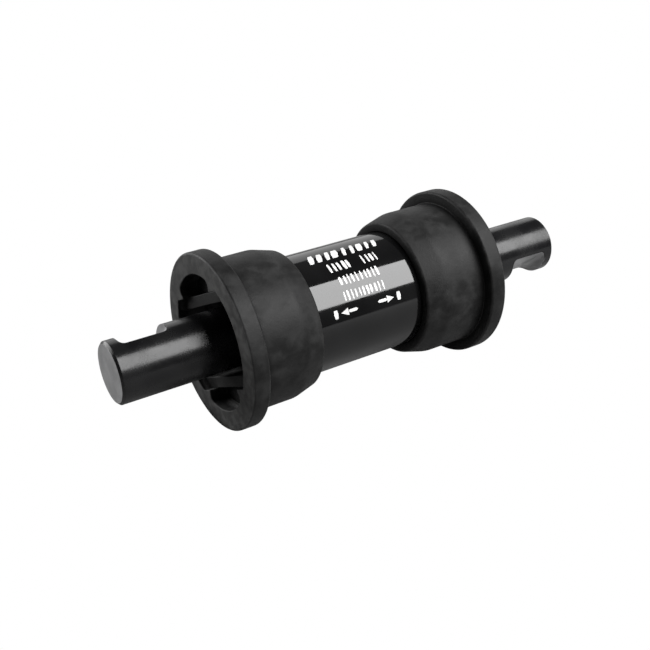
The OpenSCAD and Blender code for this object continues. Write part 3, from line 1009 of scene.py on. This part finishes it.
def cup_mesh(side, socket_r):
    """One cup as a single closed skin: the turned outside and socket, and the stepped tool face."""
    bm = bmesh.new()

    def vert(x, point, half=0):
        turn = slot_turn + math.pi * half
        y = point[0] * math.cos(turn) - point[1] * math.sin(turn)
        z = point[0] * math.sin(turn) + point[1] * math.cos(turn)
        return bm.verts.new((side * x, y, z))

    def band(half, points, x, other_points, other_x):
        for k in range(len(points) - 1):
            one_edge = [vert(x, points[k], half), vert(x, points[k + 1], half)]
            other_edge = [vert(other_x, other_points[k + 1], half), vert(other_x, other_points[k], half)]
            bm.faces.new(one_edge + other_edge)

    def wall(half, points, x, other_x):
        band(half, points, x, points, other_x)

    def flat(half, points, x):
        bm.faces.new([vert(x, point, half) for point in points])

    # Beside the slot and the ribs the ring's face is a band; beside a pocket it is one face, made further on
    sectors = [
        (-slot_edge, slot_edge, slot_steps, True),
        (slot_edge, rib_edge, rib_steps, True),
        (rib_edge, math.pi - rib_edge, pocket_steps, False),
        (math.pi - rib_edge, math.pi - slot_edge, rib_steps, True),
    ]
    turned = rounded_outline(
        [
            (cup_out, opening_r, 0),
            (cup_out, flange_r, flange_round),
            (shell_face, flange_r, flange_round),
            (shell_face, cup_r, inner_corner_round),
            (lead_in_end, cup_r, lead_in_round),
            (cup_in, cup_r - lead_in_depth, lip_round),
            (cup_in, socket_r, inner_corner_round),
            (socket_end, socket_r, 0),
            (socket_end, bulkhead_hole_r, 0),
            (bulkhead_out, bulkhead_hole_r, 0),
        ],
        steps=6,
    )[1:]
    for half in (0, 1):
        for first, last, steps, has_band in sectors:
            for here, following in zip(turned, turned[1:]):
                near = arc_points(here.y, first, last, steps)
                band(half, near, here.x, arc_points(following.y, first, last, steps), following.x)
            if has_band:
                rim = arc_points(turned[0].y, first, last, steps)
                band(half, rim, cup_out, arc_points(opening_r, first, last, steps), cup_out)
        slot_arc = arc_points(opening_r, -slot_edge, slot_edge, slot_steps)
        for around in (slot_arc, rib_arc, other_rib_arc, tongue_and_pocket):
            wall(half, around, cup_out, rib_top)
        wall(half, slot_arc, rib_top, bulkhead_out)
        wall(half, [rib_arc[0], (-rib_arc[0][0], slot_half)], rib_top, bulkhead_out)
        wall(half, pocket_outline + pocket_outline[:1], rib_top, pocket_floor)
        ring_edge = arc_points(turned[0].y, rib_edge, math.pi - rib_edge, pocket_steps)
        flat(half, ring_edge + tongue_and_pocket[::-1], cup_out)
        flat(half, rib_outline, rib_top)
        flat(half, pocket_outline, pocket_floor)
        floor_edge = arc_points(opening_r, 0, slot_edge, slot_steps // 2)
        hole_edge = arc_points(bulkhead_hole_r, 0, slot_edge, slot_steps // 2)
        hole_edge += arc_points(bulkhead_hole_r, slot_edge, rib_edge, rib_steps)[1:]
        hole_edge += arc_points(bulkhead_hole_r, rib_edge, math.pi / 2, pocket_steps // 2)[1:]
        hole_edge = with_mirror(hole_edge[:-1])
        hole_edge.insert(len(hole_edge) // 2, (0, bulkhead_hole_r))
        flat(half, with_mirror(floor_edge) + hole_edge[::-1], bulkhead_out)
    bmesh.ops.remove_doubles(bm, verts=bm.verts, dist=weld_distance)
    bmesh.ops.recalc_face_normals(bm, faces=bm.faces)

    def inside_hole(edge):
        return max(Vector(v.co[1:]).length for v in edge.verts) < bulkhead_hole_r + 1e-5

    break_sharp_edges(bm, mould_round, keep=inside_hole)
    return bm


def recess_shade_group():
    """How far a spot lies down in a recess, which sets the painted shade there: 0 in the open, 1 deep inside.
    """
    tree, given, result = start_group("painted_recess_shade", {"Reach": 0.004}, ["Depth"])
    values = {"Distance": given["Reach"]}
    open_share = put(tree, "ShaderNodeAmbientOcclusion", values, samples=8).outputs["AO"]
    tree.links.new(ranged(tree, open_share, 0.97, 0.55), result.inputs["Depth"])
    return tree


painted_recess_shade = recess_shade_group()


def glass_filled_nylon():
    """Dull black nylon. The glass fibres show as a fine grain and as paler, drier patches. Recesses get
    painted shade, and the ring of the tool face gets painted light.
    """
    finish, tree, shader = new_finish("glass_filled_nylon", Specular_IOR_Level=0.2)
    worn = use_group(tree, edge_wear, width=0.0006, patch_size=0.003, amount=0.9)["Worn"]
    grain = use_group(tree, surface_grain, grain_size=0.0003, blotch_size=0.005)
    fibres = use_group(tree, surface_grain, grain_size=0.0012, blotch_size=0.0022)
    dry = between(tree, fibres["Blotches"], 0.5, 1.0)
    tone = math_of(tree, "MULTIPLY", grain["Blotches"], dry)
    deep = use_group(tree, painted_recess_shade, reach=0.004)["Depth"]
    nylon = mixed_colour(tree, tone, (0.005, 0.005, 0.005), (0.024, 0.024, 0.024))
    nylon = mixed_colour(tree, worn, nylon, (0.06, 0.06, 0.059))
    # Painted light: the ring round each tool face is painted paler, in the patches where the fibres show
    along = put(tree, "ShaderNodeSeparateXYZ", {0: place_on_part(tree)}).outputs["X"]
    painted_face_light = ranged(tree, math_of(tree, "ABSOLUTE", along), cup_out - 0.0004, cup_out - 0.0001)
    nylon = mixed_colour(tree, math_of(tree, "MULTIPLY", painted_face_light, dry), nylon, (0.085, 0.085, 0.084))
    # Painted shade: deep in a recess the colour goes nearly black
    tree.links.new(mixed_colour(tree, deep, nylon, (0.002, 0.002, 0.002)), shader["Base Color"])
    dull = math_of(tree, "MAXIMUM", between(tree, tone, 0.50, 0.68), math_of(tree, "MULTIPLY", deep, 0.9))
    tree.links.new(dull, shader["Roughness"])
    height = math_of(tree, "ADD", grain["Grain"], math_of(tree, "MULTIPLY", fibres["Grain"], 0.7))
    raise_surface(tree, shader, height, 0.000012)
    return finish


cup_nylon = glass_filled_nylon()
for side, word, body, socket_gap in ((-1, "left", "left_cup", sliding_gap), (1, "right", "cartridge", 0)):
    cup = finished_piece(f"{word}_moulded_cup", cup_mesh(side, sleeve_r + socket_gap), cup_nylon)
    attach(cup, body)
    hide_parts(f"{word}_cup")


# ---- Studio ----
# A plain pale table under the part, a long soft box in front, above and to the right, a soft wall
# behind, and a bright card behind the left end that lights the tool face. The camera stands in front,
# above and to the left.

floor_z = cad_box[0].z
table_half = 3.0


def pale_table():
    finish = bpy.data.materials.new("pale_table")
    finish.use_nodes = True
    tree = finish.node_tree
    tree.nodes.remove(tree.nodes["Principled BSDF"])
    seen = put(tree, "ShaderNodeLightPath").outputs["Is Camera Ray"]
    paper = put(tree, "ShaderNodeBsdfDiffuse", {"Color": (0.29, 0.29, 0.29, 1)}).outputs[0]
    glow = put(tree, "ShaderNodeEmission", {"Color": (1, 1, 1, 1), "Strength": 1.0}).outputs[0]
    mix = put(tree, "ShaderNodeMixShader", {0: seen, 1: paper, 2: glow}).outputs[0]
    tree.links.new(mix, tree.nodes["Material Output"].inputs["Surface"])
    return finish


table_mesh = bpy.data.meshes.new("table")
corners = [(-1, -1), (1, -1), (1, 1), (-1, 1)]
table_mesh.from_pydata([(x * table_half, y * table_half, floor_z) for x, y in corners], [], [(0, 1, 2, 3)])
table_mesh.materials.append(pale_table())
table = bpy.data.objects.new("table", table_mesh)
bpy.context.scene.collection.objects.link(table)


def soft_light(name, place, rotation, size, radiance):
    """A rectangular soft light, whose energy is worked out from how bright its face looks."""
    light = bpy.data.lights.new(name, "AREA")
    light.shape = "RECTANGLE"
    light.size, light.size_y = size
    light.energy = radiance * math.pi * size[0] * size[1]
    lamp = bpy.data.objects.new(name, light)
    lamp.location = place
    lamp.rotation_euler = rotation
    lamp.visible_camera = False
    bpy.context.scene.collection.objects.link(lamp)


key_turn = math.radians(126.4)
key_distance = 0.53
key_place = (0.325, -0.0115 + key_distance * math.cos(key_turn), 0.0111 + key_distance * math.sin(key_turn))
soft_light("long_soft_box", key_place, (key_turn - math.pi / 2, 0, 0), (0.55, 0.472), 10.5)
soft_light("wall_behind", (0, 0.9, 0.33), (-math.pi / 2, 0, 0), (2.2, 0.7), 1.0)
card_place = Vector((-0.55, 0.74, 0.22))
towards_part = card_place.to_track_quat("Z", "Y").to_euler()
soft_light("card_at_left", card_place, towards_part, (0.9, 0.6), 3.4)

world = bpy.data.worlds.new("studio")
world.use_nodes = True
sky = world.node_tree
seen = put(sky, "ShaderNodeLightPath").outputs["Is Camera Ray"]
dim, white = 0.08, 1.0
sky.nodes["Background"].inputs["Color"].default_value = (1, 1, 1, 1)
sky.links.new(between(sky, seen, dim, white), sky.nodes["Background"].inputs["Strength"])
bpy.context.scene.world = world

camera_place = Vector((-0.1263, -0.1905, 0.1248))
camera_aim = Vector((-0.00395, 0.0005, -0.0058))
camera_data = bpy.data.cameras.new("camera")
camera_data.lens = 53.6
camera_data.sensor_width = 36
camera_data.clip_start = 0.01
camera = bpy.data.objects.new("camera", camera_data)
camera.location = camera_place
camera.rotation_euler = (camera_aim - camera_place).to_track_quat("-Z", "Y").to_euler()
bpy.context.scene.collection.objects.link(camera)
bpy.context.scene.camera = camera
bpy.context.scene.view_settings.view_transform = "Standard"
